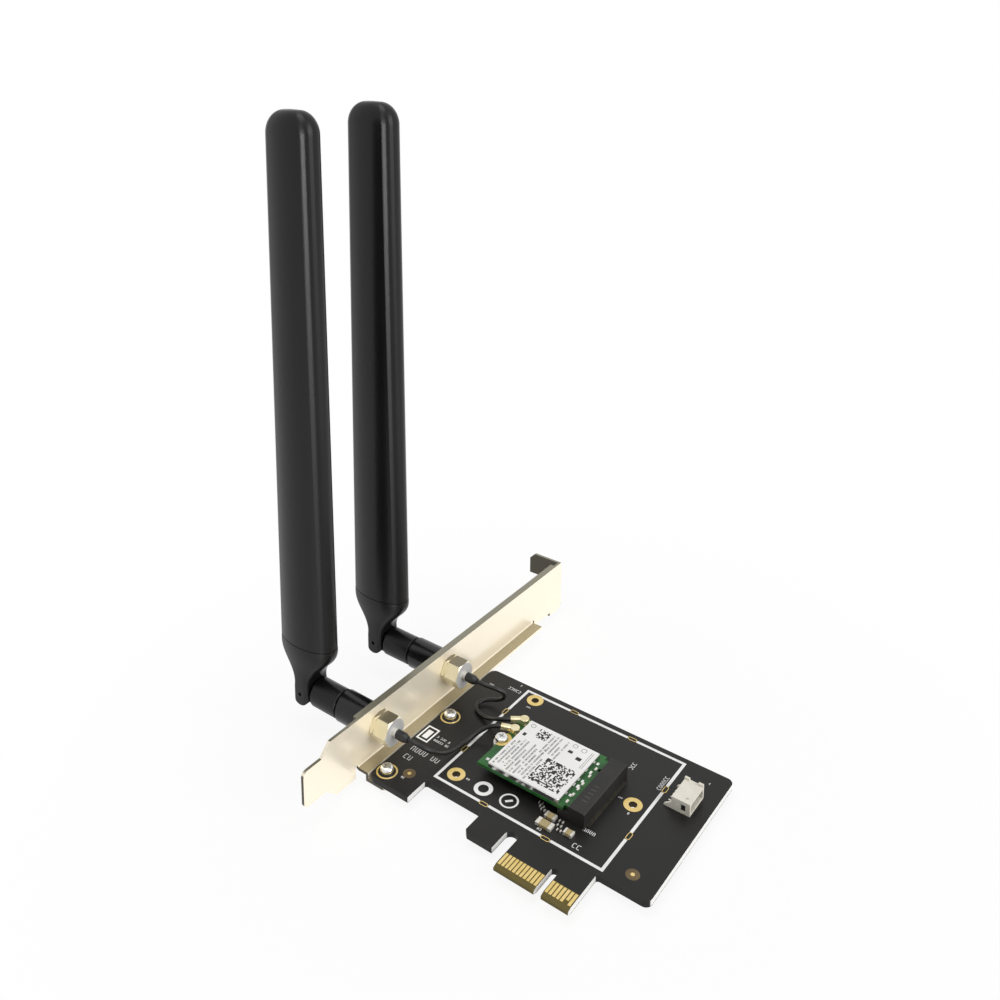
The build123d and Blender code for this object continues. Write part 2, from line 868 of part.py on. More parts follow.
def outer_nut(y):
    x1 = plate_outer - washer_thickness
    x0 = x1 - outer_nut_thickness
    return hex_bar(x0, x1, y, axis_z) - rod(thread_radius, x0 - 1, x1 + 1, y, axis_z)


def crimp_ferrule(y):
    x1 = jack_face + ferrule_length
    body = rod(ferrule_radius, jack_face, x1, y, axis_z)
    rims = body.edges().filter_by(GeomType.CIRCLE)
    return chamfer([e for e in rims if e.center().X > x1 - 1], 0.2)


def shrink_sleeve(y):
    """Heat-shrink over the ferrule, drawn in round the cable at its end."""
    x0 = jack_face + sleeve_start
    x1 = sleeve_end
    x_ferrule = jack_face + ferrule_length
    outline = [
        (x0, ferrule_radius),
        (x0, sleeve_radius),
        (x1 - 1.2, sleeve_radius),
        (x1 - 0.3, sleeve_end_radius + 0.15),
        (x1, sleeve_end_radius),
        (x1, cable_diameter / 2),
        (x_ferrule, cable_diameter / 2),
        (x_ferrule, ferrule_radius - 0.2),
        (x_ferrule - 0.2, ferrule_radius),
    ]
    return Pos(0, y, axis_z) * revolve(make_face(Polyline(*outline, close=True)), Axis.X)


# Antenna
def coupling_nut(y):
    """Knurled sleeve nut that turns freely on the antenna and screws on the jack."""
    body = rod(nut_radius, nut_far, nut_near, y, axis_z)
    body = chamfer(body.edges().filter_by(GeomType.CIRCLE), nut_chamfer)
    body -= rod(thread_radius + thread_clearance, nut_far + nut_lip, nut_near + 1, y, axis_z)
    return body - rod(core_neck_radius + running_gap, nut_far - 1, nut_far + nut_lip + 1, y, axis_z)


def plug_core(y):
    """The antenna's metal ferrule: a flange held inside the nut and a neck pressed in the barrel."""
    x1 = jack_end - face_gap
    x0 = x1 - core_flange_thickness
    neck_end = barrel_near - core_neck_length
    body = rod(core_flange_radius, x0, x1, y, axis_z) + rod(core_neck_radius, neck_end, x0, y, axis_z)
    return body - rod(socket_radius, neck_end - 1, x1 + 1, y, axis_z)


def plug_contact(y):
    """The centre contact, bored to take the jack's pin."""
    x0 = barrel_near - core_neck_length + 0.5
    pin_tip = jack_face - 1.0 - jack_insulator_length - jack_pin_reach
    x1 = jack_face - 1.0 - jack_insulator_length - 0.3
    bore = rod(jack_pin_radius + running_gap, pin_tip - 0.5, x1 + 1, y, axis_z)
    return rod(socket_radius, x0, x1, y, axis_z) - bore


def barrel(y):
    """Swivel body: round barrel, shoulder, and the tongue that enters the fork."""
    shoulder = pivot_x + shoulder_distance
    body = rod(barrel_radius, shoulder, barrel_near, y, axis_z)
    body = fillet(body.edges().filter_by(GeomType.CIRCLE), 0.4)
    half = tongue_thickness / 2
    z0, z1 = axis_z - tongue_half_height, axis_z + tongue_half_height
    tongue = boxed(pivot_x, shoulder + 1.0, y - half, y + half, z0, z1)
    eye = Pos(pivot_x, y, axis_z) * Rot(90, 0, 0) * Cylinder(tongue_half_height, tongue_thickness)
    body += tongue + eye
    bore = Cylinder(pin_radius + pin_clearance, tongue_thickness + 2)
    body -= Pos(pivot_x, y, axis_z) * Rot(90, 0, 0) * bore
    return body - rod(core_neck_radius, barrel_near - core_neck_length, barrel_near + 1, y, axis_z)


def hinge_pin(y):
    return Pos(pivot_x, y, axis_z) * Rot(90, 0, 0) * Cylinder(pin_radius, pin_length)


def seam_section():
    return blade_wide, blade_thick, blade_crown, blade_round, seam_height


def bell_sections():
    """Ovals of the lower cap from its neck to the seam: width, thickness, crown, corner radius, height."""
    neck = 2 * fork_half_width
    return [
        (neck, fork_depth, 0.15, fork_edge_radius, fork_top),
        (neck + 0.5, fork_depth, 0.25, 1.6, 4.6),
        (8.4, fork_depth + 0.1, 0.6, 2.2, 6.6),
        (14.6, 9.4, 1.5, 3.3, 9.8),
        seam_section(),
    ]


def lower_cap(y):
    """Bell and fork in one moulding, with a spigot that carries the blade."""
    bell = loft([oval(*section) for section in bell_sections()])
    fork_low = -swing_radius
    neck = oval(2 * fork_half_width, fork_depth, 0.15, fork_edge_radius, fork_low)
    fork = extrude(neck, fork_top - fork_low)
    round_end = Rot(90, 0, 0) * Cylinder(swing_radius, fork_depth + 2)
    fork = (fork & boxed(-9, 9, -9, 9, 0, 9)) + (fork & round_end)
    spigot = extrude(oval(*inset(seam_section(), blade_wall + spigot_gap)), spigot_height)
    half_w = radiator_width / 2 + radiator_gap
    half_t = radiator_thickness / 2 + radiator_gap
    seat_low = seam_height + spigot_height - radiator_seat
    seat = boxed(-half_w, half_w, -half_t, half_t, seat_low, seat_low + radiator_seat + 1)
    body = bell + fork + (spigot - seat)
    slot = tongue_thickness + 2 * tongue_gap
    slot_top = swing_radius + slot_clearance
    body -= boxed(-9, 9, -slot / 2, slot / 2, -9, slot_top)
    body -= Rot(90, 0, 0) * Cylinder(pin_radius, pin_length)
    body -= Rot(90, 0, 0) * Cylinder(pin_mouth_radius, fork_depth + 2)
    return Pos(pivot_x, y, axis_z) * body


def dome_section(turn):
    """An oval of the blade's domed top, from its foot at turn 0 to nearly its crest at turn 90."""
    rise = math.sin(math.radians(turn))
    draw = 1 - math.cos(math.radians(turn))
    wide = blade_top_wide - 2 * dome_side * draw
    thick = blade_top_thick - 2 * dome_front * draw
    share = thick / blade_top_thick
    z = seam_height + blade_length - dome_height * (1 - rise)
    return wide, thick, blade_top_crown * share, blade_top_round * share, z


def blade_cover(y):
    """Tapered hollow sleeve with a shadow line at its foot and a closed, domed top."""
    low_section = seam_section()
    foot = (*low_section[:4], seam_height + seam_groove)
    outer = loft([oval(*foot), oval(*dome_section(0))])
    outer += loft([oval(*dome_section(turn)) for turn in dome_turns])
    outer += loft([oval(*foot), oval(*inset(low_section, seam_groove))])
    inner = loft([oval(*inset(low_section, blade_wall)), oval(*inset(dome_section(0), blade_top_wall))])
    return Pos(pivot_x, y, axis_z) * (outer - inner)


def radiator(y):
    low = seam_height + spigot_height - radiator_seat
    half_w, half_t = radiator_width / 2, radiator_thickness / 2
    strip = boxed(-half_w, half_w, -half_t, half_t, low, low + radiator_length)
    return Pos(pivot_x, y, axis_z) * strip


# Pigtail cables: points where the straight runs would meet, from the sleeve to the plug
cable_bends = (
    (
        (-47.5, 12.7, axis_z),
        (-44.9, 13.2, 8.4),
        (-43.0, 14.8, 7.0),
        (-42.2, 17.2, 4.9),
        (-42.0, 20.3, 3.1),
        (-41.9, 23.7, 2.0),
        (-42.0, 27.3, 1.6),
        (-41.5, 30.6, 1.9),
        (-40.0, 33.2, 3.3),
    ),
    (
        (-47.5, 43.1, axis_z),
        (-44.8, 43.5, 8.75),
        (-42.8, 44.8, 8.0),
        (-41.4, 46.4, 6.4),
        (-41.9, 47.3, 4.2),
        (-44.2, 47.1, 2.6),
        (-47.2, 46.2, 2.0),
        (-48.9, 44.0, 1.6),
        (-47.9, 41.4, 1.42),
        (-45.0, 40.2, 1.45),
        (-41.8, 39.4, 2.2),
        (-39.2, 38.6, 3.9),
    ),
)
cable_last_run = (3.2, 2.7)


def plug_point(i, distance):
    """A point on the axis of a plug's tail, a distance out from the cap."""
    turn = math.radians(plug_turn[i])
    x = receptacle_x - distance * math.cos(turn)
    y = receptacle_rows[i] - distance * math.sin(turn)
    return (x, y, plug_centre_z)


def cable_points(i):
    start = (jack_face + ferrule_length, axis_rows[i], axis_z)
    end = plug_radius + plug_bore_depth
    return [start, *cable_bends[i], plug_point(i, end + cable_last_run[i]), plug_point(i, end)]


def bend_radii(points):
    """The radius at each inner point, as large as the runs beside it allow."""
    radii = []
    for before, here, after in zip(points, points[1:], points[2:]):
        run_in = Vector(*here) - Vector(*before)
        run_out = Vector(*after) - Vector(*here)
        half_turn = math.radians(run_in.get_angle(run_out)) / 2
        radii.append(0.45 * min(run_in.length, run_out.length) / math.tan(half_turn))
    return radii


def pigtail_cable(i):
    points = cable_points(i)
    radii = bend_radii(points)
    path = FilletPolyline(*points, radius=radii)
    section = Plane(origin=path @ 0, z_dir=path % 0) * Circle(cable_diameter / 2)
    tube = sweep(section, path=path)
    turns = ", ".join(f"{radius:.1f}" for radius in radii)
    print(f"{side_names[i]} cable: length {path.length:.1f}, radii {turns}")
    section = math.pi * cable_diameter ** 2 / 4
    print(f"  volume {tube.volume:.2f}, section times length {section * path.length:.2f}")
    return tube


# Every node of the card, then the nodes that each antenna side repeats
card_nodes = {
    "main_board": main_board,
    "edge_contacts": edge_contacts,
    "board_pads": board_pads,
    "bracket": bracket,
    "bracket_screws": bracket_screws,
    "socket_housing": module_socket,
    "socket_tails": socket_tails,
    "standoff": standoff,
    "module_screw": module_screw,
    "module_board": module_board,
    "module_pads": module_pads,
    "module_shield": module_shield,
    "module_label": module_label,
    "module_parts": module_parts,
    "coax_receptacles": coax_receptacles,
    "capacitor_bodies": capacitor_bodies,
    "chip_ends": chip_ends,
    "chip_resistors": chip_resistors,
    "header_housing": header_housing,
    "header_contacts": header_contacts,
}

side_nodes = {
    "jack_body": jack_body,
    "jack_insulator": jack_insulator,
    "jack_pin": jack_pin,
    "spacer_nut": spacer_nut,
    "lock_washer": lock_washer,
    "outer_nut": outer_nut,
    "crimp_ferrule": crimp_ferrule,
    "shrink_sleeve": shrink_sleeve,
    "coupling_nut": coupling_nut,
    "plug_core": plug_core,
    "plug_contact": plug_contact,
    "barrel": barrel,
    "hinge_pin": hinge_pin,
    "lower_cap": lower_cap,
    "blade_cover": blade_cover,
    "radiator": radiator,
}

for node, make in card_nodes.items():
    save(node, make())

for i, side in enumerate(side_names):
    for node, make in side_nodes.items():
        save(f"{side}_{node}", make(axis_rows[i]))
    save(f"{side}_cable_plug", cable_plug(i))
    save(f"{side}_pigtail_cable", pigtail_cable(i))
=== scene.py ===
import bpy
import bmesh
import json
import math
import random
from mathutils import Matrix, Vector


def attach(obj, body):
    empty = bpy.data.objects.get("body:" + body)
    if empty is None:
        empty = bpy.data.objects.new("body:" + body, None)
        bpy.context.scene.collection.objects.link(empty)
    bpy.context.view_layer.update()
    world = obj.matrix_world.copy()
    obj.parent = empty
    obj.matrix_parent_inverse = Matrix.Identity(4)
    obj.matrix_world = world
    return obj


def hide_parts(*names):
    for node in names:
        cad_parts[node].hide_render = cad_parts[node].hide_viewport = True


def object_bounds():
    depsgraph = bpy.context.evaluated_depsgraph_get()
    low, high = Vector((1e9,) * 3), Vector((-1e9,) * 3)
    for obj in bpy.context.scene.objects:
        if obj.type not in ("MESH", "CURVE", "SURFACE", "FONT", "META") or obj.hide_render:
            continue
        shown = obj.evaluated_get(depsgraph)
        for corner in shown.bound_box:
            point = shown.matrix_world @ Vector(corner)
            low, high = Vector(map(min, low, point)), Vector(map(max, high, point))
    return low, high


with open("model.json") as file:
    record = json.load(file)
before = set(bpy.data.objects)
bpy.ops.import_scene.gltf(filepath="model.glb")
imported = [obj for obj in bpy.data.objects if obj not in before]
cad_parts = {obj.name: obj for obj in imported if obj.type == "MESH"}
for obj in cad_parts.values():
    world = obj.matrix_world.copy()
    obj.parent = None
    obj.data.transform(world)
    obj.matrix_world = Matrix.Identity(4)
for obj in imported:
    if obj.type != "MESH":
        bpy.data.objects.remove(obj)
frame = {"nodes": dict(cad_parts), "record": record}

nodes = frame["nodes"]
cadBox = [list(corner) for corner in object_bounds()]
mm = 0.001


def toLinear(code):
    # sRGB hex to linear RGBA
    parts = [int(code[i:i + 2], 16) / 255 for i in (1, 3, 5)]
    return [c / 12.92 if c <= 0.04045 else ((c + 0.055) / 1.055) ** 2.4 for c in parts] + [1.0]


def perMetre(size):
    # the noise scale that makes features of this size in millimetres
    return 1000 / size


def addNode(tree, kind, settings=None, links=None):
    node = tree.nodes.new(kind)
    for name, value in (settings or {}).items():
        if isinstance(name, str) and hasattr(node, name):
            setattr(node, name, value)
        else:
            node.inputs[name].default_value = value
    for name, socket in (links or {}).items():
        tree.links.new(socket, node.inputs[name])
    return node


def newMaterial(name, look):
    # a principled material with the plain sockets of its look set, and its tree
    material = bpy.data.materials.new(name)
    material.use_nodes = True
    tree = material.node_tree
    shader = tree.nodes["Principled BSDF"]
    shader.inputs["Base Color"].default_value = toLinear(look["colour"])
    shader.inputs["Roughness"].default_value = look["roughness"]
    shader.inputs["Metallic"].default_value = look.get("metallic", 0.0)
    shader.inputs["Specular IOR Level"].default_value = look.get("specular", 0.5)
    shader.inputs["Anisotropic"].default_value = look.get("lengthways", 0.0)
    shader.inputs["Anisotropic Rotation"].default_value = 0.25  # a quarter turn, along the blade
    return material, tree, shader


def fineGrain(tree, shader, look):
    # bump and a spread of roughness from noise of a real size
    place = addNode(tree, "ShaderNodeTexCoord").outputs["Object"]
    noise = addNode(tree, "ShaderNodeTexNoise", {"Scale": perMetre(look["grainMm"]), "Detail": 3.0},
                    {"Vector": place})
    bump = addNode(tree, "ShaderNodeBump", {"Strength": look["bump"], "Distance": look["bumpMm"] * mm},
                   {"Height": noise.outputs["Fac"]})
    tree.links.new(bump.outputs["Normal"], shader.inputs["Normal"])
    rough = look["roughness"]
    spread = look["roughnessSpread"]
    ranged = addNode(tree, "ShaderNodeMapRange",
                     {"From Min": 0.3, "From Max": 0.7, "To Min": rough - spread, "To Max": rough + spread},
                     {"Value": noise.outputs["Fac"]})
    tree.links.new(ranged.outputs["Result"], shader.inputs["Roughness"])
    return place


def tint(tree, place, look):
    # a slow change between two close colours over the surface
    cloud = addNode(tree, "ShaderNodeTexNoise", {"Scale": perMetre(look["cloudMm"]), "Detail": 2.0},
                    {"Vector": place})
    ramp = addNode(tree, "ShaderNodeValToRGB", None, {"Fac": cloud.outputs["Fac"]})
    ramp.color_ramp.elements[0].position = 0.35
    ramp.color_ramp.elements[1].position = 0.65
    ramp.color_ramp.elements[0].color = toLinear(look["colour"])
    ramp.color_ramp.elements[1].color = toLinear(look["secondColour"])
    return ramp.outputs["Color"]


def mixColours(tree, factor, first, second):
    # second over first by a factor; either may be a hex colour or a socket
    mix = addNode(tree, "ShaderNodeMix", {"data_type": "RGBA"})
    tree.links.new(factor, mix.inputs[0])
    for socket, colour in ((mix.inputs[6], first), (mix.inputs[7], second)):
        if isinstance(colour, str):
            socket.default_value = toLinear(colour)
        else:
            tree.links.new(colour, socket)
    return mix.outputs[2]


def stepMask(tree, value, edge, soft):
    # 0 below the edge and 1 above it, with a soft stretch between
    ranged = addNode(tree, "ShaderNodeMapRange", {"From Min": edge - soft, "From Max": edge + soft},
                     {"Value": value})
    return ranged.outputs["Result"]


def splitVector(tree, vector):
    return addNode(tree, "ShaderNodeSeparateXYZ", None, {0: vector}).outputs


def splitNormal(tree):
    return splitVector(tree, addNode(tree, "ShaderNodeTexCoord").outputs["Normal"])


def product(tree, first, second):
    return addNode(tree, "ShaderNodeMath", {"operation": "MULTIPLY"}, {0: first, 1: second}).outputs[0]


def surfaceFinish(name, look):
    material, tree, shader = newMaterial(name, look)
    place = fineGrain(tree, shader, look)
    tree.links.new(tint(tree, place, look), shader.inputs["Base Color"])
    return material


# Each finish: colours, then grain and clouds by their real size in millimetres
finishes = {
    # gold plated copper: thin pale yellow plating, softly mirror-like
    "platedGold": {"colour": "#EBD08A", "secondColour": "#DFC274", "roughness": 0.32, "roughnessSpread": 0.02,
                   "metallic": 0.5, "grainMm": 2.0, "bump": 0.02, "bumpMm": 0.005, "cloudMm": 2},
    # flash gold on the snap-on connectors: pale, nearly silver
    "flashGold": {"colour": "#EADFBB", "secondColour": "#DBCDA0", "roughness": 0.26, "roughnessSpread": 0.02,
                  "metallic": 0.8, "grainMm": 1.0, "bump": 0.02, "bumpMm": 0.005, "cloudMm": 2},
    # plated barrel inside a hole: bronze plating darkened as painted shade down the bore
    "shadedBarrel": {"colour": "#4A3A1C", "secondColour": "#382B14", "roughness": 0.45, "roughnessSpread": 0.02,
                   "metallic": 0.5, "grainMm": 1.0, "bump": 0.02, "bumpMm": 0.005, "cloudMm": 1},
    # cast and nickel plated screw heads: bright and smooth
    "polishedSteel": {"colour": "#E6E6E4", "secondColour": "#D6D6D4",
                      "roughness": 0.2, "roughnessSpread": 0.01,
                      "metallic": 1.0, "grainMm": 2.0, "bump": 0.01, "bumpMm": 0.005, "cloudMm": 3},
    # moulded nylon of the socket: near black, dull
    "nylonCharcoal": {"colour": "#1F1E1D", "secondColour": "#262423",
                      "roughness": 0.5, "roughnessSpread": 0.04,
                      "specular": 0.3, "grainMm": 0.6, "bump": 0.1, "bumpMm": 0.01, "cloudMm": 6},
    # tin plated ends of small parts: pale with a soft shine
    "tinPlate": {"colour": "#EDE9E0", "secondColour": "#DEDAD0", "roughness": 0.32, "roughnessSpread": 0.03,
                 "metallic": 0.45, "grainMm": 1.0, "bump": 0.03, "bumpMm": 0.005, "cloudMm": 2},
    # soldered tails in the socket's shade: dull grey brown
    "dullTin": {"colour": "#5C574C", "secondColour": "#4A463D", "roughness": 0.5, "roughnessSpread": 0.04,
                "metallic": 0.4, "grainMm": 0.5, "bump": 0.05, "bumpMm": 0.01, "cloudMm": 2},
    # the module's solder mask: deep green over copper
    "greenMask": {"colour": "#174E1C", "secondColour": "#246628", "roughness": 0.35, "roughnessSpread": 0.03,
                  "specular": 0.4, "grainMm": 1.0, "bump": 0.04, "bumpMm": 0.005, "cloudMm": 3},
    # stamped and plated can: pale grey metal
    "stampedShield": {"colour": "#D6D6D4", "secondColour": "#C8C8C6",
                      "roughness": 0.16, "roughnessSpread": 0.01,
                      "metallic": 1.0, "grainMm": 2.0, "bump": 0.02, "bumpMm": 0.005, "cloudMm": 5},
    # printed film label: white, almost matt
    "paperLabel": {"colour": "#F6F5F3", "secondColour": "#EFEEEC", "roughness": 0.55, "roughnessSpread": 0.04,
                   "specular": 0.3, "grainMm": 1.0, "bump": 0.04, "bumpMm": 0.01, "cloudMm": 10},
    # resin bodies of small chips: near black
    "chipResin": {"colour": "#232322", "secondColour": "#33312E", "roughness": 0.45, "roughnessSpread": 0.04,
                  "grainMm": 0.5, "bump": 0.08, "bumpMm": 0.01, "cloudMm": 1},
    # fired capacitor ceramic: tan, faintly grainy
    "tanCeramic": {"colour": "#B5A478", "secondColour": "#A3926A", "roughness": 0.45, "roughnessSpread": 0.04,
                   "grainMm": 0.5, "bump": 0.08, "bumpMm": 0.01, "cloudMm": 2},
    # moulded nylon of the pin header: ivory grey
    "ivoryNylon": {"colour": "#E6E2D6", "secondColour": "#DCD7C8", "roughness": 0.5, "roughnessSpread": 0.04,
                   "specular": 0.35, "grainMm": 0.8, "bump": 0.08, "bumpMm": 0.01, "cloudMm": 4},
    # turned insulator: white and waxy
    "turnedPtfe": {"colour": "#EDEBE6", "secondColour": "#E4E1DA", "roughness": 0.5, "roughnessSpread": 0.04,
                   "grainMm": 0.5, "bump": 0.08, "bumpMm": 0.01, "cloudMm": 2},
    # heat shrink: black with a soft drawn sheen
    "heatShrink": {"colour": "#151516", "secondColour": "#1E1E1F", "roughness": 0.36, "roughnessSpread": 0.05,
                   "specular": 0.45, "grainMm": 0.9, "bump": 0.2, "bumpMm": 0.03, "cloudMm": 2},
    # extruded cable jacket: smooth black that greys in the light
    "cableJacket": {"colour": "#0D0D0C", "secondColour": "#131312",
                    "roughness": 0.34, "roughnessSpread": 0.03,
                    "specular": 0.4, "grainMm": 0.8, "bump": 0.04, "bumpMm": 0.005, "cloudMm": 4},
    # black plated nut: deep and glossy
    "blackNickel": {"colour": "#09090A", "secondColour": "#0D0D0E",
                    "roughness": 0.22, "roughnessSpread": 0.02,
                    "specular": 0.4, "grainMm": 1.0, "bump": 0.02, "bumpMm": 0.005, "cloudMm": 5},
    # moulded ABS of the antennas: near black satin, its highlight drawn out along the blade
    "satinAbs": {"colour": "#0A0A0B", "secondColour": "#0D0D0E", "roughness": 0.3, "roughnessSpread": 0.015,
                 "specular": 0.25, "lengthways": 0.8, "grainMm": 1.0,
                 "bump": 0.02, "bumpMm": 0.005, "cloudMm": 25},
    # blackened hinge pin
    "darkPin": {"colour": "#2A2A2A", "secondColour": "#202020", "roughness": 0.4, "roughnessSpread": 0.04,
                "metallic": 0.8, "grainMm": 0.5, "bump": 0.05, "bumpMm": 0.01, "cloudMm": 2},
    # copper strip inside the blade
    "copperStrip": {"colour": "#B87A50", "secondColour": "#A66B44", "roughness": 0.4, "roughnessSpread": 0.04,
                    "metallic": 1.0, "grainMm": 0.5, "bump": 0.05, "bumpMm": 0.01, "cloudMm": 4},
    # screen printed ink, white on the board and grey or black on the label
    "whiteInk": {"colour": "#F6F6F4", "secondColour": "#ECECEA", "roughness": 0.6, "roughnessSpread": 0.04,
                 "specular": 0.3, "grainMm": 0.6, "bump": 0.04, "bumpMm": 0.005, "cloudMm": 5},
    "greyInk": {"colour": "#7C7B79", "secondColour": "#6E6D6B", "roughness": 0.6, "roughnessSpread": 0.04,
                "specular": 0.3, "grainMm": 0.6, "bump": 0.04, "bumpMm": 0.005, "cloudMm": 5},
    "faintInk": {"colour": "#4E4C4A", "secondColour": "#444240", "roughness": 0.6, "roughnessSpread": 0.04,
                 "specular": 0.3, "grainMm": 0.6, "bump": 0.04, "bumpMm": 0.005, "cloudMm": 5},
    # the black ink also makes the painted shade sheets in the pin header's window and notch
    "blackInkAndShade": {"colour": "#262626", "secondColour": "#343434", "roughness": 0.6, "roughnessSpread": 0.04,
                 "specular": 0.3, "grainMm": 0.6, "bump": 0.04, "bumpMm": 0.005, "cloudMm": 5},
    # bare laminate round an alignment dot
    "bareLaminate": {"colour": "#6E5D40", "secondColour": "#5E4E34",
                     "roughness": 0.5, "roughnessSpread": 0.04,
                     "specular": 0.3, "grainMm": 0.6, "bump": 0.05, "bumpMm": 0.005, "cloudMm": 2},
}
made = {name: surfaceFinish(name, look) for name, look in finishes.items()}
print("finishes made:", len(made))

# Plated metal of the bracket and jacks, with painted shade and reflection tones where it faces up, to the
# front and to the end
sheetLooks = {
    "nickelSheet": {"colour": "#FFF5E0", "secondColour": "#F8ECD3",
                    "roughness": 0.26, "roughnessSpread": 0.01,
                    "metallic": 0.35, "grainMm": 3.0, "bump": 0.01, "bumpMm": 0.01, "cloudMm": 40,
                    # painted reflection: the lip and flange darker where they face up, the tab dark on its
                    # inside face
                    "upShade": "#A79C7F", "highShade": "#8B8775", "highFrom": 5.0, "frontShade": "#4C483C",
                    "endReflection": "#FFF5E0"},
    "nickelBrass": {"colour": "#F2E9C9", "secondColour": "#E8DDB8",
                    "roughness": 0.24, "roughnessSpread": 0.01,
                    "metallic": 0.3, "grainMm": 3.0, "bump": 0.01, "bumpMm": 0.005, "cloudMm": 6,
                    # painted shade: dark top facets on the hexes, and a grey painted reflection on their end
                    # faces
                    "upShade": "#7D745E", "highShade": "#7D745E", "highFrom": 5.0, "frontShade": "#F2E9C9",
                    "endReflection": "#D6D5D3"},
}
# where each of those painted tones begins, and its soft stretch
sheetEdges = {"up": (0.8, 0.12), "front": (0.92, 0.05), "end": (0.9, 0.08), "highSoft": 0.1}


def dressPlated(name):
    look = sheetLooks[name]
    material, tree, shader = newMaterial(name, look)
    place = fineGrain(tree, shader, look)
    facing = splitNormal(tree)
    height = splitVector(tree, place)[2]
    # painted shade and reflection: faces turned up, to the front and to the end are coloured by their facing
    up = stepMask(tree, facing[2], *sheetEdges["up"])
    isHigh = stepMask(tree, height, look["highFrom"] * mm, sheetEdges["highSoft"] * mm)
    foldShade = mixColours(tree, isHigh, look["upShade"], look["highShade"])
    forwards = addNode(tree, "ShaderNodeMath", {"operation": "MULTIPLY", 1: -1.0}, {0: facing[1]}).outputs[0]
    colour = mixColours(tree, up, tint(tree, place, look), foldShade)
    colour = mixColours(tree, stepMask(tree, forwards, *sheetEdges["front"]), colour, look["frontShade"])
    colour = mixColours(tree, stepMask(tree, facing[0], *sheetEdges["end"]), colour, look["endReflection"])
    tree.links.new(colour, shader.inputs["Base Color"])
    return material


# Board: black solder mask, painted light on the routed walls that face +X, and the bare gold-brown zone
# between the edge contacts
boardMask = {
    "look": {"colour": "#171615", "secondColour": "#1E1D1C", "roughness": 0.42, "roughnessSpread": 0.04,
             "specular": 0.25, "grainMm": 0.7, "bump": 0.05, "bumpMm": 0.01, "cloudMm": 30},
    "litWallColour": "#E6E5E2", "litWallFacing": (0.93, 0.04), "litWallLow": (-0.66, 0.04),
    "contactColour": "#5E5220", "contactZoneTop": 5.2, "contactZoneLeft": -12.3, "contactZoneSoft": 0.05,
}


def dressBoard():
    look = boardMask["look"]
    material, tree, shader = newMaterial("solderMask", look)
    place = fineGrain(tree, shader, look)
    facing = splitNormal(tree)
    spot = splitVector(tree, place)
    lowest, lowSoft = boardMask["litWallLow"]
    # painted light: walls facing +X are drawn pale above a low line, the other walls stay black
    side = stepMask(tree, facing[0], *boardMask["litWallFacing"])
    litWall = product(tree, side, stepMask(tree, spot[2], lowest * mm, lowSoft * mm))
    soft = boardMask["contactZoneSoft"] * mm
    above = stepMask(tree, spot[1], boardMask["contactZoneTop"] * mm, soft)
    rightOf = stepMask(tree, spot[0], boardMask["contactZoneLeft"] * mm, soft)
    below = addNode(tree, "ShaderNodeMath", {"operation": "SUBTRACT", 0: 1.0}, {1: above}).outputs[0]
    zone = product(tree, below, rightOf)
    colour = mixColours(tree, zone, tint(tree, place, look), boardMask["contactColour"])
    colour = mixColours(tree, litWall, colour, boardMask["litWallColour"])
    tree.links.new(colour, shader.inputs["Base Color"])
    return material


for name in sheetLooks:
    made[name] = dressPlated(name)
made["solderMask"] = dressBoard()

slotFinish = {
    "board_black": "solderMask", "gold_plating": "platedGold", "bracket_steel": "nickelSheet",
    "screw_chrome": "polishedSteel", "socket_plastic": "nylonCharcoal", "tinned_metal": "tinPlate",
    "module_green": "greenMask", "shield_metal": "stampedShield", "label_white": "paperLabel",
    "chip_black": "chipResin", "ceramic_tan": "tanCeramic", "header_ivory": "ivoryNylon",
    "jack_nickel": "nickelBrass", "ptfe_white": "turnedPtfe", "sleeve_black": "heatShrink",
    "cable_black": "cableJacket", "nut_black": "blackNickel", "antenna_black": "satinAbs",
    "pin_steel": "darkPin", "radiator_copper": "copperStrip",
}
for part in frame["record"]["subparts"]:
    node = nodes[part["node"]]
    node.data.materials.clear()
    node.data.materials.append(made[slotFinish[part["material_slot"]]])
ownFinish = {"module_parts": "tinPlate", "socket_tails": "dullTin", "coax_receptacles": "flashGold",
             "left_cable_plug": "flashGold", "right_cable_plug": "flashGold"}
for name, finish in ownFinish.items():
    nodes[name].data.materials[0] = made[finish]
print("card dressed:", len(nodes), "nodes")


def newPiece(name, finish, body):
    # an empty mesh object that rides on a body, and its bmesh
    mesh = bpy.data.meshes.new(name)
    piece = bpy.data.objects.new(name, mesh)
    bpy.context.scene.collection.objects.link(piece)
    mesh.materials.append(made[finish])
    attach(piece, body)
    return piece, bmesh.new()


def closePiece(piece, bm):
    bm.normal_update()
    bm.to_mesh(piece.data)
    bm.free()


def addField(bm, x, y, width, height, z, turn=0.0):
    # a flat printed rectangle, all in millimetres
    place = Matrix.Translation((x * mm, y * mm, z * mm)) @ Matrix.Rotation(math.radians(turn), 4, "Z")
    size = Matrix.Diagonal((width * mm / 2, height * mm / 2, 1, 1))
    bmesh.ops.create_grid(bm, x_segments=1, y_segments=1, size=1, matrix=place @ size)


def addDisc(bm, x, y, radius, z, segments=40):
    place = Matrix.Translation((x * mm, y * mm, z * mm))
    bmesh.ops.create_circle(bm, cap_ends=True, segments=segments, radius=radius * mm, matrix=place)


def addBand(bm, x, y, radius, line, z, segments=40):
    # a flat printed ring: a disc whose rim is inset and whose middle is taken out
    before = set(bm.faces)
    addDisc(bm, x, y, radius, z, segments)
    disc = [face for face in bm.faces if face not in before]
    bmesh.ops.inset_region(bm, faces=disc, thickness=line * mm, use_boundary=True, use_even_offset=True)
    bmesh.ops.delete(bm, geom=disc, context="FACES")


# a box's width as a share of its height, its pitch as a share of its width, and the share of boxes drawn
markStyle = {"wide": 0.55, "pitch": 1.45, "kept": 0.88}


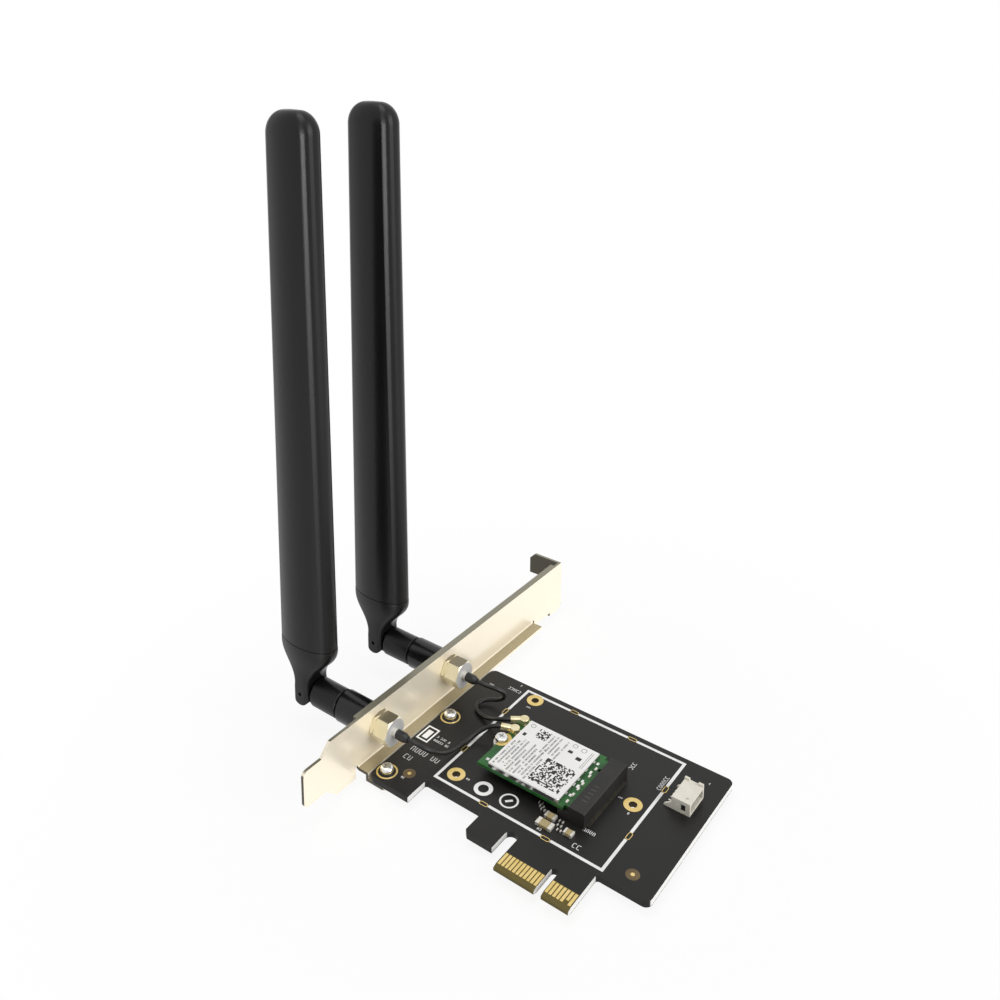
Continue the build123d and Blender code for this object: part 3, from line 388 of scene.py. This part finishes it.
def addMarks(bm, start, length, height, z, turn, rng, stroke):
    # a row of small boxes, each with a side left out, that stands for a printed line
    along = 0.0
    heading = Vector((math.cos(math.radians(turn)), math.sin(math.radians(turn))))
    upwards = Vector((-heading.y, heading.x))
    wide = markStyle["wide"] * height
    while along + wide <= length:
        if rng.random() < markStyle["kept"]:
            corner = Vector(start) + heading * along
            sides = [(0.5, 0.5, wide, stroke), (0.5, -0.5, wide, stroke), (0.0, 0.0, stroke, height),
                     (1.0, 0.0, stroke, height)]
            sides.pop(rng.randrange(4))
            for across, up, sideWide, sideHigh in sides:
                spot = corner + heading * across * (wide - stroke) + upwards * up * (height - stroke)
                spot += heading * stroke / 2
                addField(bm, spot.x, spot.y, sideWide, sideHigh, z, turn)
        along += wide * markStyle["pitch"]


# Pigtail cables: the same route as the source's, in millimetres here
pigtails = {
    "left": {
        "route": [(-50.2, 12.7, 8.9), (-47.5, 12.7, 8.9), (-44.9, 13.2, 8.4), (-43.0, 14.8, 7.0),
                  (-42.2, 17.2, 4.9), (-42.0, 20.3, 3.1), (-41.9, 23.7, 2.0), (-42.0, 27.3, 1.6),
                  (-41.5, 30.6, 1.9), (-40.0, 33.2, 3.3), (-37.255, 35.015, 5.18), (-34.289, 36.214, 5.18)],
        "length": 35.6,
    },
    "right": {
        "route": [(-50.2, 43.1, 8.9), (-47.5, 43.1, 8.9), (-44.8, 43.5, 8.75), (-42.8, 44.8, 8.0),
                  (-41.4, 46.4, 6.4), (-41.9, 47.3, 4.2), (-44.2, 47.1, 2.6), (-47.2, 46.2, 2.0),
                  (-48.9, 44.0, 1.6), (-47.9, 41.4, 1.42), (-45.0, 40.2, 1.45), (-41.8, 39.4, 2.2),
                  (-39.2, 38.6, 3.9), (-36.131, 38.608, 5.18), (-33.946, 40.195, 5.18)],
        "length": 39.4,
    },
    "diameter": 1.13,
}


def layPigtail(side):
    facts = pigtails[side]
    curve = bpy.data.curves.new(side + "Pigtail", "CURVE")
    curve.dimensions = "3D"
    curve.bevel_depth = pigtails["diameter"] * mm / 2
    curve.bevel_resolution = 6
    curve.resolution_u = 12
    curve.use_fill_caps = True
    spline = curve.splines.new("NURBS")
    spline.points.add(len(facts["route"]) - 1)
    for point, place in zip(spline.points, facts["route"]):
        point.co = (*[c * mm for c in place], 1)
    spline.order_u = 3
    spline.use_endpoint_u = True
    curve.materials.append(made["cableJacket"])
    piece = bpy.data.objects.new(side + "Pigtail", curve)
    bpy.context.scene.collection.objects.link(piece)
    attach(piece, "card")
    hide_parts(side + "_pigtail_cable")


for side in ("left", "right"):
    layPigtail(side)
print("pigtails laid")

# White legend on the board: the frame that the fence pads break, and generic marks
boardPrint = {
    "z": 0.815, "stroke": 0.16, "seed": 7,
    "frame": {"left": -41.3, "right": 8.85, "low": 13.95, "high": 58.3, "line": 0.8},
    "sidePads": (27.2, 46.4), "endPads": (-25.3, -7.0), "padReach": 1.35,
    "rows": [  # start, length, height, turn
        ((-52.6, 18.9), 9.4, 1.7, 0), ((-52.3, 15.4), 4.4, 1.7, 0), ((-47.8, 8.8), 1.3, 0.7, 0),
        ((-34.0, 18.7), 1.2, 0.7, 0), ((-10.3, 15.9), 1.6, 0.8, 0), ((-1.3, 22.5), 3.3, 1.1, 0),
        ((-0.8, 16.7), 2.9, 1.5, 0), ((-51.9, 53.9), 1.5, 0.5, 0), ((-46.4, 55.8), 4.2, 1.1, 0),
        ((-37.5, 51.8), 1.3, 0.6, 0), ((0.3, 37.0), 1.4, 0.5, 0), ((4.1, 33.5), 1.5, 0.8, 0),
        ((-2.0, 47.6), 4.0, 1.2, 90), ((7.1, 45.4), 6.2, 1.2, 90), ((16.5, 55.2), 0.9, 0.7, 0),
        ((-49.8, 26.4), 4.4, 0.8, 0), ((-49.8, 24.9), 5.2, 0.8, 0), ((-44.0, 58.6), 0.9, 0.7, 0),
    ],
    "square": {"left": -54.5, "right": -50.6, "low": 22.7, "high": 28.7, "line": 0.5},
    "squareFill": (-52.55, 25.6, 1.7, 3.4),
    "ring": {"at": (-20.8, 18.9), "radius": 2.5, "line": 0.5, "bar": (2.0, 0.7), "barTurn": 45},
    "disc": {"at": (-28.4, 18.4), "radius": 2.5, "line": 1.1},
    "alignment": {"at": [(-46.9, 11.0), (14.7, 17.6)], "radius": 1.7, "z": 0.806},
}


def addFrameSide(bm, low, high, across, line, breaks, alongX):
    # one side of the white frame, left open where the pads stand
    stops = [low]
    for middle in breaks:
        stops += [middle - boardPrint["padReach"], middle + boardPrint["padReach"]]
    stops.append(high)
    for start, end in zip(stops[::2], stops[1::2]):
        middle, length = (start + end) / 2, end - start
        if alongX:
            addField(bm, middle, across, length, line, boardPrint["z"])
        else:
            addField(bm, across, middle, line, length, boardPrint["z"])


def addBox(bm, box, breaksX=(), breaksY=()):
    half = box["line"] / 2
    for y in (box["low"] + half, box["high"] - half):
        addFrameSide(bm, box["left"], box["right"], y, box["line"], breaksX, True)
    for x in (box["left"] + half, box["right"] - half):
        addFrameSide(bm, box["low"] + box["line"], box["high"] - box["line"], x, box["line"], breaksY, False)


def printBoard():
    piece, bm = newPiece("boardPrint", "whiteInk", "card")
    addBox(bm, boardPrint["frame"], boardPrint["endPads"], boardPrint["sidePads"])
    addBox(bm, boardPrint["square"])
    z = boardPrint["z"]
    addField(bm, *boardPrint["squareFill"], z)
    rng = random.Random(boardPrint["seed"])
    for start, length, height, turn in boardPrint["rows"]:
        addMarks(bm, start, length, height, z, turn, rng, boardPrint["stroke"])
    for mark in (boardPrint["ring"], boardPrint["disc"]):
        addBand(bm, *mark["at"], mark["radius"], mark["line"], z)
    ring = boardPrint["ring"]
    addField(bm, *ring["at"], *ring["bar"], z, ring["barTurn"])
    closePiece(piece, bm)
    piece, bm = newPiece("alignmentGround", "bareLaminate", "card")
    for x, y in boardPrint["alignment"]["at"]:
        addDisc(bm, x, y, boardPrint["alignment"]["radius"], boardPrint["alignment"]["z"])
    closePiece(piece, bm)


printBoard()
print("board print laid")

# Label on the shield: rows of dashes and two fields of small cells, with no real text or code
labelPrint = {
    "z": 5.51, "left": -29.65, "low": 22.25, "wide": 21.2, "high": 20.2, "seed": 12, "stroke": 0.13,
    "rows": {"first": 0.045, "last": 0.49, "count": 10, "low": 0.03, "high": 0.64, "height": 0.5},
    "side": {"first": 0.40, "last": 0.60, "count": 5, "low": 0.55, "high": 0.95, "height": 0.45},
    "cells": [  # left, low, right, high as shares of the label, and cells across
        (0.52, 0.065, 0.95, 0.53, 24), (0.19, 0.755, 0.355, 0.94, 11),
    ],
    "marks": [(0.07, 0.72, 0.9, 1.2), (0.70, 0.80, 1.3, 1.0), (0.845, 0.745, 1.5, 1.2)],
    "rims": [(0.08, 0.925, 1.2), (0.70, 0.93, 1.2), (0.83, 0.92, 1.3)],
    "rimShare": 0.6, "rimLine": 0.15, "rimFacets": 20, "cellsFilled": 0.52,
    "fineLines": (0.93, 0.955), "fineLineAt": 0.78, "fineLineWide": 0.12, "fineLineHigh": 0.34,
    "lowSteps": (0.0, 0.0, 0.04), "highSteps": (0.0, 0.05, 0.16),
}


def labelSpot(u, v):
    return labelPrint["left"] + u * labelPrint["wide"], labelPrint["low"] + v * labelPrint["high"]


def addColumns(bm, facts, rng):
    # printed lines that run up the label, side by side
    for i in range(facts["count"]):
        u = facts["first"] + (facts["last"] - facts["first"]) * i / (facts["count"] - 1)
        low = facts["low"] + rng.choice(labelPrint["lowSteps"])
        high = facts["high"] - rng.choice(labelPrint["highSteps"])
        length = (high - low) * labelPrint["high"]
        addMarks(bm, labelSpot(u, low), length, facts["height"], labelPrint["z"], 90, rng,
                 labelPrint["stroke"])


def addCells(bm, left, low, right, high, count, rng):
    # about half the cells of a square grid, chosen at random
    x0, y0 = labelSpot(left, low)
    x1, y1 = labelSpot(right, high)
    stepX, stepY = (x1 - x0) / count, (y1 - y0) / count
    for row in range(count):
        for column in range(count):
            if rng.random() < labelPrint["cellsFilled"]:
                x, y = x0 + (column + 0.5) * stepX, y0 + (row + 0.5) * stepY
                addField(bm, x, y, stepX, stepY, labelPrint["z"])


def printLabel():
    rng = random.Random(labelPrint["seed"])
    piece, bm = newPiece("labelText", "greyInk", "card")
    addColumns(bm, labelPrint["rows"], rng)
    addColumns(bm, labelPrint["side"], rng)
    for u, v, radius in labelPrint["rims"]:
        addBand(bm, *labelSpot(u, v), radius * labelPrint["rimShare"], labelPrint["rimLine"], labelPrint["z"],
                labelPrint["rimFacets"])
    lineWide, lineHigh = labelPrint["fineLineWide"], labelPrint["fineLineHigh"] * labelPrint["high"]
    for u in labelPrint["fineLines"]:
        addField(bm, *labelSpot(u, labelPrint["fineLineAt"]), lineWide, lineHigh, labelPrint["z"])
    closePiece(piece, bm)
    piece, bm = newPiece("labelCells", "blackInkAndShade", "card")
    for field in labelPrint["cells"]:
        addCells(bm, *field, rng)
    for u, v, width, height in labelPrint["marks"]:
        addField(bm, *labelSpot(u, v), width, height, labelPrint["z"])
    closePiece(piece, bm)


printLabel()
print("label printed")

# Pale dots on the module's green strips, and a faint row of bars on the socket
stripMarks = {
    "z": 4.115,
    "ink": [(-31.4, 24.5, 0.9, 0.9), (-7.6, 26.7, 0.8, 0.9), (-7.7, 30.4, 0.7, 1.2), (-7.7, 32.6, 0.6, 1.0),
            (-7.6, 36.6, 0.6, 1.1), (-7.7, 40.4, 0.7, 0.9), (-12.0, 43.4, 0.6, 0.4), (-10.8, 43.4, 0.6, 0.4)],
    "bars": {"x": -3.3, "z": 5.012, "low": 26.2, "step": 1.5, "count": 5, "size": (1.5, 0.3)},
}


def printStrips():
    piece, bm = newPiece("moduleMarks", "whiteInk", "card")
    for x, y, width, height in stripMarks["ink"]:
        addField(bm, x, y, width, height, stripMarks["z"])
    closePiece(piece, bm)
    piece, bm = newPiece("socketMarks", "faintInk", "card")
    bars = stripMarks["bars"]
    for i in range(bars["count"]):
        addField(bm, bars["x"], bars["low"] + i * bars["step"], *bars["size"], bars["z"])
    closePiece(piece, bm)


printStrips()
print("strips marked")

# Painted shade in the insides: the plated barrels of the holes in a dark finish, and dark sheets at the back
# of the pin header's window and in its end notch
insides = {
    "holes": ((-37.0, 55.5), (-37.0, 18.2), (4.5, 36.8)), "radius": 1.085, "depth": 1.55, "facets": 40,
    "window": [(13.66, y, z) for y, z in ((42.4, 1.5), (49.0, 1.5), (49.0, 3.5), (42.4, 3.5))],
    "notch": [(x, 42.18, z) for x, z in ((15.0, 1.3), (16.3, 1.3), (16.3, 3.3), (15.0, 3.3))],
}


def lineHoles():
    # real plated barrels, dark as painted shade down each bore
    piece, bm = newPiece("holeBarrels", "shadedBarrel", "card")
    for x, y in insides["holes"]:
        radius = insides["radius"] * mm
        bmesh.ops.create_cone(bm, cap_ends=False, segments=insides["facets"], radius1=radius, radius2=radius,
                              depth=insides["depth"] * mm, matrix=Matrix.Translation((x * mm, y * mm, 0)))
    bmesh.ops.reverse_faces(bm, faces=bm.faces)
    for face in bm.faces:
        face.smooth = True
    closePiece(piece, bm)


def shadeHeader():
    # dark sheets of painted shade at the back of the window and in the notch
    piece, bm = newPiece("headerShade", "blackInkAndShade", "card")
    for corners in (insides["window"], insides["notch"]):
        bm.faces.new([bm.verts.new([c * mm for c in corner]) for corner in corners])
    closePiece(piece, bm)


lineHoles()
shadeHeader()
print("insides shaded")

# Studio: pale floor and white background, a soft box at the card's free end, a top light, and a low lamp
# that lights the antennas alone
studio = {
    "floorSize": 8.0, "floorGap": 0.0005, "floorColour": "#F2F2F2", "world": 0.4,
    "shadowCentre": (0.02, -0.04, 0), "shadowReach": (0.07, 0.15), "shadowWhite": 0.9,
    "side": {"at": (1.0, 0.15, 0.42), "power": 8.0, "wide": 0.8, "high": 0.8},
    "blade": {"at": (0.22, -0.72, 0.10), "power": 5.5, "wide": 0.5, "high": 0.1},
    "top": {"at": (-0.1, -0.15, 1.1), "power": 4.6, "wide": 0.7, "high": 0.7},
    "lampsAimAt": (-0.04, 0.03, 0.04),
}


def seenWhite(tree):
    # 1 where the camera, a mirror or glass sees the surface
    path = addNode(tree, "ShaderNodeLightPath")
    seen = addNode(tree, "ShaderNodeMath", {"operation": "MAXIMUM"},
                   {0: path.outputs["Is Camera Ray"], 1: path.outputs["Is Glossy Ray"]})
    return addNode(tree, "ShaderNodeMath", {"operation": "MAXIMUM"},
                   {0: seen.outputs[0], 1: path.outputs["Is Transmission Ray"]}).outputs[0]


def dressFloor():
    # matt white paper that shows pure white away from the card and keeps its shadow near it
    material, tree, shader = newMaterial("whitePaper", {"colour": studio["floorColour"], "roughness": 0.9})
    place = addNode(tree, "ShaderNodeTexCoord").outputs["Object"]
    centre = addNode(tree, "ShaderNodeMapping", {"Location": studio["shadowCentre"]}, {"Vector": place})
    reach = addNode(tree, "ShaderNodeVectorMath", {"operation": "LENGTH"}, {0: centre.outputs["Vector"]})
    near, far = studio["shadowReach"]
    spread = addNode(tree, "ShaderNodeMapRange",
                     {"From Min": near, "From Max": far, "To Min": studio["shadowWhite"]},
                     {"Value": reach.outputs["Value"]})
    share = product(tree, spread.outputs["Result"], seenWhite(tree))
    glow = addNode(tree, "ShaderNodeEmission", {"Color": (1, 1, 1, 1), "Strength": 1.0})
    mix = addNode(tree, "ShaderNodeMixShader", None,
                  {0: share, 1: shader.outputs[0], 2: glow.outputs[0]})
    tree.links.new(mix.outputs[0], tree.nodes["Material Output"].inputs["Surface"])
    return material


def buildStudio():
    low = cadBox[0][2] - studio["floorGap"]
    bm = bmesh.new()
    bmesh.ops.create_grid(bm, x_segments=1, y_segments=1, size=studio["floorSize"] / 2,
                          matrix=Matrix.Translation((0, 0, low)))
    mesh = bpy.data.meshes.new("floor")
    bm.to_mesh(mesh)
    bm.free()
    floor = bpy.data.objects.new("floor", mesh)
    bpy.context.scene.collection.objects.link(floor)
    mesh.materials.append(dressFloor())
    world = bpy.data.worlds.new("studioWorld")
    bpy.context.scene.world = world
    world.use_nodes = True
    tree = world.node_tree
    background = tree.nodes["Background"]
    strength = addNode(tree, "ShaderNodeMapRange", {"To Min": studio["world"], "To Max": 1.0},
                       {"Value": seenWhite(tree)})
    background.inputs["Color"].default_value = (1, 1, 1, 1)
    tree.links.new(strength.outputs["Result"], background.inputs["Strength"])


def addLamp(name, lamp):
    light = bpy.data.lights.new(name, "AREA")
    light.shape = "RECTANGLE"
    light.energy = lamp["power"]
    light.size = lamp["wide"]
    light.size_y = lamp["high"]
    holder = bpy.data.objects.new(name, light)
    holder.location = lamp["at"]
    aim = Vector(studio["lampsAimAt"]) - Vector(lamp["at"])
    holder.rotation_euler = aim.to_track_quat("-Z", "Y").to_euler()
    bpy.context.scene.collection.objects.link(holder)
    return holder


def lightAntennas(lamp):
    # the lamp reaches only what is moulded in the antennas' plastic
    antennas = bpy.data.collections.new("antennas")
    for part in frame["record"]["subparts"]:
        if part["material_slot"] == "antenna_black":
            antennas.objects.link(nodes[part["node"]])
    lamp.light_linking.receiver_collection = antennas


buildStudio()
addLamp("sideLamp", studio["side"])
lightAntennas(addLamp("bladeLamp", studio["blade"]))
addLamp("topLamp", studio["top"])
print("studio built")

# Camera at the photograph's place; the shift is the photograph's off-centre framing
shot = {
    "place": (107.2526, -168.5061, 195.2231),
    "right": (0.78995901, 0.61315349, -0.0027491),
    "up": (-0.12057855, 0.15974074, 0.97976717),
    "back": (0.6011868, -0.77364443, 0.20012179),
    "lens": 37.32098, "shiftX": 0.0477974, "shiftY": -0.2756693, "sensor": 36, "clipStart": 0.01,
}


def placeCamera():
    camera = bpy.data.cameras.new("camera")
    camera.sensor_width = shot["sensor"]
    camera.lens = shot["lens"]
    camera.shift_x = shot["shiftX"]
    camera.shift_y = shot["shiftY"]
    camera.clip_start = shot["clipStart"]
    holder = bpy.data.objects.new("camera", camera)
    turn = Matrix((shot["right"], shot["up"], shot["back"])).transposed()
    holder.matrix_world = Matrix.Translation([c * mm for c in shot["place"]]) @ turn.to_4x4()
    bpy.context.scene.collection.objects.link(holder)
    bpy.context.scene.camera = holder


placeCamera()
bpy.context.scene.view_settings.view_transform = "Standard"
print("camera placed")
